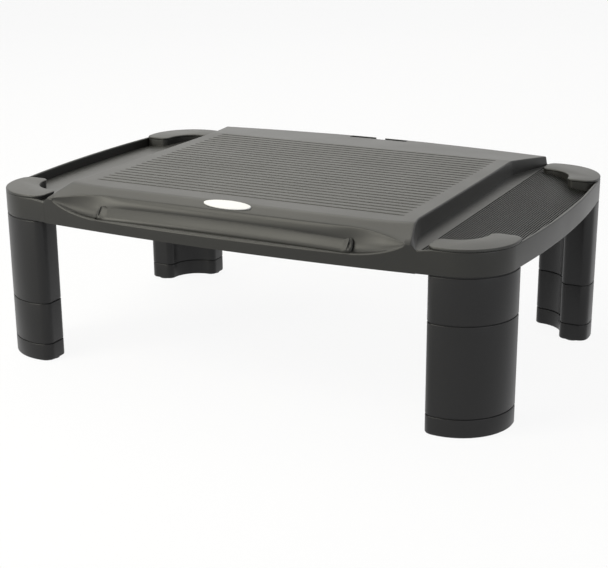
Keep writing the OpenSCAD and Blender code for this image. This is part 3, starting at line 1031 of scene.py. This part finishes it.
# %% Model the stiffening ribs
STIFF_T, STIFF_H, STIFF_IN, STIFF_ROUND, STIFF_SHORT = 0.002, 0.006, 0.0005, 0.0006, 0.016
stiff_low = PANEL_Z - WALL - STIFF_H + STIFF_IN
span = BACK_CREASE_Y - CREASE_Y
middle_y = (BACK_CREASE_Y + CREASE_Y) / 2
bars = []
for k in (-1, 0, 1):
    for size, spot in (((STIFF_T, span), (k * EDGE / 2, middle_y)),
                       ((2 * EDGE - STIFF_SHORT, STIFF_T), (0, middle_y + k * span / 3))):
        bpy.ops.object.select_all(action="DESELECT")
        bpy.ops.mesh.primitive_cube_add(size=1)
        begin("bar")
        bpy.ops.transform.resize(value=(*size, STIFF_H))
        bpy.ops.transform.translate(value=(*spot, stiff_low + STIFF_H / 2))
        pick("EDGE", loop_at(stiff_low))
        soften(STIFF_ROUND)
        bars.append(close_up())
print("stiffening ribs", len(bars))

# %% Join the deck
deck = join("deck_moulding", [panel, left_skirt, right_skirt, left_tray, right_tray] + posts + bars)
deck.data.name = deck.name
pieces["deck_moulding"] = deck
deck.data.calc_loop_triangles()
print("deck triangles", len(deck.data.loop_triangles))

# %% [markdown]
# ## Badge
# A small white oval plate lies on the front apron. A circle is stretched to an oval, pulled up, bevelled to a
# soft edge and tilted with the apron. Its lower face is sunk a little, so that no gap shows.

# %% Model the badge
BADGE_W, BADGE_H, BADGE_T, BADGE_Y = 0.046, 0.0115, 0.001, -0.1505
BADGE_SUNK, BADGE_ROUND = 0.0003, 0.0005
bpy.ops.object.select_all(action="DESELECT")
bpy.ops.mesh.primitive_circle_add(vertices=72, radius=0.5, fill_type="NGON")
begin("badge_plate")
bpy.ops.transform.resize(value=(BADGE_W, BADGE_H, 1))
pull(z=BADGE_T + BADGE_SUNK)
pick("EDGE", loop_at(BADGE_T + BADGE_SUNK))
soften(BADGE_ROUND, 4)
bpy.ops.mesh.select_all(action="SELECT")
turn(math.atan2(FRONT_DROP, DECK_D / 2 + CREASE_Y), "X", (0, 0, 0))
bpy.ops.transform.translate(value=(0, BADGE_Y, top_z(BADGE_Y) - BADGE_SUNK))
pieces["badge_plate"] = close_up()
print("badge top", round(max(v.co.z for v in pieces["badge_plate"].data.vertices), 4))

# %% [markdown]
# ## Plastic
# The whole riser is charcoal plastic from textured moulds. Close up it has a fine even grain, and over a
# hand's width its tone and gloss drift a little, as moulded plastic does. Every finish here uses the same
# grain with its own values, so it is one node group: it puts out a colour, a roughness and a height for the
# bump.

# %% Add nodes
def add_node(tree, kind, **values):
    """A node with its settings, or its inputs by name."""
    node = tree.nodes.new(kind)
    for name, value in values.items():
        if hasattr(node, name):
            setattr(node, name, value)
        else:
            node.inputs[name.replace("_", " ").title()].default_value = value
    return node


def add_math(tree, operation, *sources, clamp=False):
    """The output of a sum on sockets and plain numbers."""
    node = add_node(tree, "ShaderNodeMath", operation=operation, use_clamp=clamp)
    for entry, source in zip(node.inputs, sources):
        if isinstance(source, float):
            entry.default_value = source
        else:
            tree.links.new(source, entry)
    return node.outputs[0]


# %% Build the grain group
DRIFT_SCALE, GRAIN_SHARE = 18.0, 0.5


def grain_sockets(group):
    """What a finish sets on the grain group, and what it gets back."""
    new_socket = group.interface.new_socket
    new_socket("Tone", in_out="INPUT", socket_type="NodeSocketColor")
    for name in ("Drift", "Roughness", "Spread", "Grain Scale"):
        new_socket(name, in_out="INPUT", socket_type="NodeSocketFloat")
    new_socket("Color", in_out="OUTPUT", socket_type="NodeSocketColor")
    for name in ("Roughness", "Height"):
        new_socket(name, in_out="OUTPUT", socket_type="NodeSocketFloat")


def build_grain():
    """Moulded grain: fine bumps, and slow drifts of tone and gloss."""
    group = bpy.data.node_groups.new("moulded_grain", "ShaderNodeTree")
    grain_sockets(group)
    link = group.links.new
    given = group.nodes.new("NodeGroupInput").outputs
    result = group.nodes.new("NodeGroupOutput").inputs
    place = group.nodes.new("ShaderNodeTexCoord").outputs["Object"]
    grain = add_node(group, "ShaderNodeTexNoise", detail=3.0, roughness=0.6)
    drift = add_node(group, "ShaderNodeTexNoise", scale=DRIFT_SCALE, detail=4.0, roughness=0.55)
    link(place, grain.inputs["Vector"])
    link(place, drift.inputs["Vector"])
    link(given["Grain Scale"], grain.inputs["Scale"])
    centred = add_math(group, "SUBTRACT", drift.outputs["Fac"], 0.5)
    shift = add_math(group, "MULTIPLY_ADD", centred, given["Drift"], 1.0)
    tone = add_node(group, "ShaderNodeMix", data_type="RGBA", blend_type="MULTIPLY")
    tone.inputs["Factor"].default_value = 1.0
    link(given["Tone"], tone.inputs[6])
    link(shift, tone.inputs[7])
    mixed = add_math(group, "MULTIPLY_ADD", grain.outputs["Fac"], GRAIN_SHARE, centred)
    gloss = add_math(group, "MULTIPLY_ADD", mixed, given["Spread"], given["Roughness"], clamp=True)
    link(tone.outputs[2], result["Color"])
    link(gloss, result["Roughness"])
    link(grain.outputs["Fac"], result["Height"])
    return group


GRAIN = build_grain()
print("nodes in the grain group", len(GRAIN.nodes))

# %% [markdown]
# A finish is a material that places the grain group and sets its values. The shader and the bump stay in the
# material. The deck and caps are a little lighter than the legs, the badge is white, and the pads are rougher
# than all of them. The legs' darker tone and weaker gloss are partly the plastic's own and partly painted
# shade:
# they also stand in for the shade under the deck and the dim floor that the legs reflect.

# %% Make the finishes
BUMP_DEEP = 0.0001


def moulded(name, tone, roughness, drift=0.3, spread=0.12, scale=2200.0, bump=0.06, specular=0.5):
    """A material of the grain group with its own values."""
    material = bpy.data.materials.new(name)
    material.use_nodes = True
    tree = material.node_tree
    link = tree.links.new
    shader = tree.nodes["Principled BSDF"]
    shader.inputs["Specular IOR Level"].default_value = specular
    grain = tree.nodes.new("ShaderNodeGroup")
    grain.node_tree = GRAIN
    grain.inputs["Tone"].default_value = (*tone, 1)
    values = {"Drift": drift, "Roughness": roughness, "Spread": spread, "Grain Scale": scale}
    for entry, value in values.items():
        grain.inputs[entry].default_value = value
    height = add_node(tree, "ShaderNodeBump", strength=bump, distance=BUMP_DEEP)
    link(grain.outputs["Color"], shader.inputs["Base Color"])
    link(grain.outputs["Roughness"], shader.inputs["Roughness"])
    link(grain.outputs["Height"], height.inputs["Height"])
    link(height.outputs["Normal"], shader.inputs["Normal"])
    return material


deck_plastic = moulded("deck_plastic", (0.016, 0.016, 0.0145), 0.36, specular=0.34)
cap_plastic = moulded("cap_plastic", (0.018, 0.018, 0.016), 0.40, specular=0.42)
# Darker and less glossy than the deck: partly the legs' own tone, partly painted shade from under the deck.
leg_plastic = moulded("leg_plastic", (0.009, 0.009, 0.0096), 0.34, bump=0.04, specular=0.30)
badge_white = moulded("badge_white", (0.78, 0.79, 0.82), 0.4, drift=0.05, spread=0.05, bump=0.02,
                      specular=0.3)
pad_rubber = moulded("pad_rubber", (0.02, 0.02, 0.02), 0.75, scale=1500.0, bump=0.3)
print("finishes", [m.name for m in (deck_plastic, cap_plastic, leg_plastic, badge_white, pad_rubber)])

# %% [markdown]
# Each piece now rides on a body of the frame and replaces a node of it. The table also lists the material
# slot that each one fills, which nothing here reads.

# %% Put the pieces on the frame
PARTS = {
    "deck_moulding": ("deck", "deck", deck_plastic, "deck_plastic"),
    "badge_plate": ("deck", "badge", badge_white, "badge_plate"),
}
LEG_STACK = [
    ("corner_cap", "cap", "cap", cap_plastic, "cap_plastic"),
    ("top_segment", "upper_leg", "upper_leg", leg_plastic, "leg_plastic"),
    ("bottom_segment", "lower_leg", "lower_leg", leg_plastic, "leg_plastic"),
    ("foot_block", "foot", "foot", leg_plastic, "leg_plastic"),
    ("rubber_pads", "foot", "foot_pads", pad_rubber, "pad_rubber"),
]
for corner in CORNERS:
    for name, body, node, material, slot in LEG_STACK:
        PARTS[f"{name}_{corner}"] = (f"{body}_{corner}", f"{node}_{corner}", material, slot)
for name, (body, node, material, slot) in PARTS.items():
    piece = pieces[name]
    piece.data.materials.clear()
    piece.data.materials.append(material)
    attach(piece, body)
    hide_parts(node)
print("pieces", len(PARTS))

# %% [markdown]
# ## Studio
# The photograph shows the riser on a white ground under soft light. The floor is a plain pale plane. To the
# camera, and in reflections, it is a thin film in front of the white world: enough of its shading is left for
# a soft shadow, and nothing hides behind it when the riser is seen from below or a leg is pulled down. To all
# other light it is solid.

# %% Floor
WHITE_SHARE, FLOOR_SIZE = 0.92, 9


def seen_directly(tree):
    """A value of 1 for rays from the camera, and for what gloss and glass show of the background."""
    path = tree.nodes.new("ShaderNodeLightPath").outputs
    either = add_math(tree, "MAXIMUM", path["Is Camera Ray"], path["Is Glossy Ray"])
    return add_math(tree, "MAXIMUM", either, path["Is Transmission Ray"])


bpy.ops.object.select_all(action="DESELECT")
bpy.ops.mesh.primitive_plane_add(size=FLOOR_SIZE)
floor = bpy.context.object
floor.name = "floor"
ground = bpy.data.materials.new("pale_floor")
ground.use_nodes = True
tree = ground.node_tree
matt = tree.nodes["Principled BSDF"]
matt.inputs["Base Color"].default_value = (0.9, 0.9, 0.9, 1)
matt.inputs["Roughness"].default_value = 0.9
clear = tree.nodes.new("ShaderNodeBsdfTransparent")
below = tree.nodes.new("ShaderNodeNewGeometry").outputs["Backfacing"]
film = add_math(tree, "MAXIMUM", below, WHITE_SHARE)
blend = tree.nodes.new("ShaderNodeMixShader")
tree.links.new(add_math(tree, "MULTIPLY", seen_directly(tree), film), blend.inputs["Fac"])
tree.links.new(matt.outputs[0], blend.inputs[1])
tree.links.new(clear.outputs[0], blend.inputs[2])
tree.links.new(blend.outputs[0], tree.nodes["Material Output"].inputs["Surface"])
floor.data.materials.append(ground)
print("floor size", [round(v, 2) for v in floor.dimensions])

# %% [markdown]
# The world is white where it is seen, and dimmer as a light, so that it lights the object evenly from all
# sides. Broad lamps then shape it: warm ones from the left, the front and behind, and a cool one at the
# right.

# %% World
WORLD_LEVEL = 0.25
world = bpy.data.worlds.new("studio")
bpy.context.scene.world = world
world.use_nodes = True
tree = world.node_tree
backdrop = tree.nodes["Background"]
backdrop.inputs["Color"].default_value = (1, 1, 1, 1)
level = add_node(tree, "ShaderNodeMapRange", to_min=WORLD_LEVEL, to_max=1.0)
tree.links.new(seen_directly(tree), level.inputs["Value"])
tree.links.new(level.outputs[0], backdrop.inputs["Strength"])
print("world nodes", len(tree.nodes))


# %% Lamps
def softbox(name, spot, aim, size, power, tint):
    """A broad lamp at a place, facing a point."""
    lamp = bpy.data.lights.new(name, "AREA")
    lamp.shape = "RECTANGLE"
    lamp.size, lamp.size_y = size
    lamp.energy = power
    lamp.color = tint
    holder = bpy.data.objects.new(name, lamp)
    bpy.context.scene.collection.objects.link(holder)
    holder.location = spot
    holder.rotation_euler = (Vector(aim) - Vector(spot)).to_track_quat("-Z", "Y").to_euler()


WARM, COOL = (1.0, 0.97, 0.84), (0.94, 0.97, 1.0)
softbox("left_key", (-1.30, -0.15, 1.35), (0, -0.05, 0.15), (0.6, 0.6), 4, WARM)
softbox("front_fill", (-0.56, -0.96, 1.36), (0, -0.1, 0.15), (0.8, 0.8), 14, WARM)
softbox("low_left", (-0.98, -1.20, 0.62), (0.05, -0.16, 0.15), (0.42, 0.36), 9, WARM)
softbox("back_top", (-0.80, 0.80, 1.60), (0, 0, 0.15), (1.4, 1.0), 10, WARM)
softbox("back_low", (-1.00, 2.00, 0.90), (0, 0, 0.15), (2.4, 0.9), 3, WARM)
softbox("right_side", (1.70, -0.55, 0.75), (0.15, -0.05, 0.08), (0.8, 0.8), 5, COOL)
print("lamps", len(bpy.data.lights))

# %% [markdown]
# ## Camera
# The view was found by fitting a camera to points of the photograph: the caps, the feet and the ends of the
# grooves. It stands in front and to the right, a little above the deck, with a long lens.

# %% Set the camera
AZIMUTH, ELEVATION, ROLL = 0.46832, 0.30950, -0.00664
CAMERA_SPOT = (0.56663, -1.12659, 0.45935)
SENSOR_W, FOCAL_PIXELS, PHOTO_PIXELS = 36, 1359.1, 608
lens = bpy.data.cameras.new("view")
lens.sensor_width = SENSOR_W
lens.lens = SENSOR_W * FOCAL_PIXELS / PHOTO_PIXELS
camera = bpy.data.objects.new("view", lens)
bpy.context.scene.collection.objects.link(camera)
camera.location = CAMERA_SPOT
facing = Euler((math.pi / 2 - ELEVATION, 0, AZIMUTH)).to_matrix() @ Matrix.Rotation(ROLL, 3, "Z")
camera.rotation_euler = facing.to_euler()
bpy.context.scene.camera = camera
bpy.context.scene.view_settings.view_transform = "Standard"
print("lens", round(lens.lens, 1), "mm")
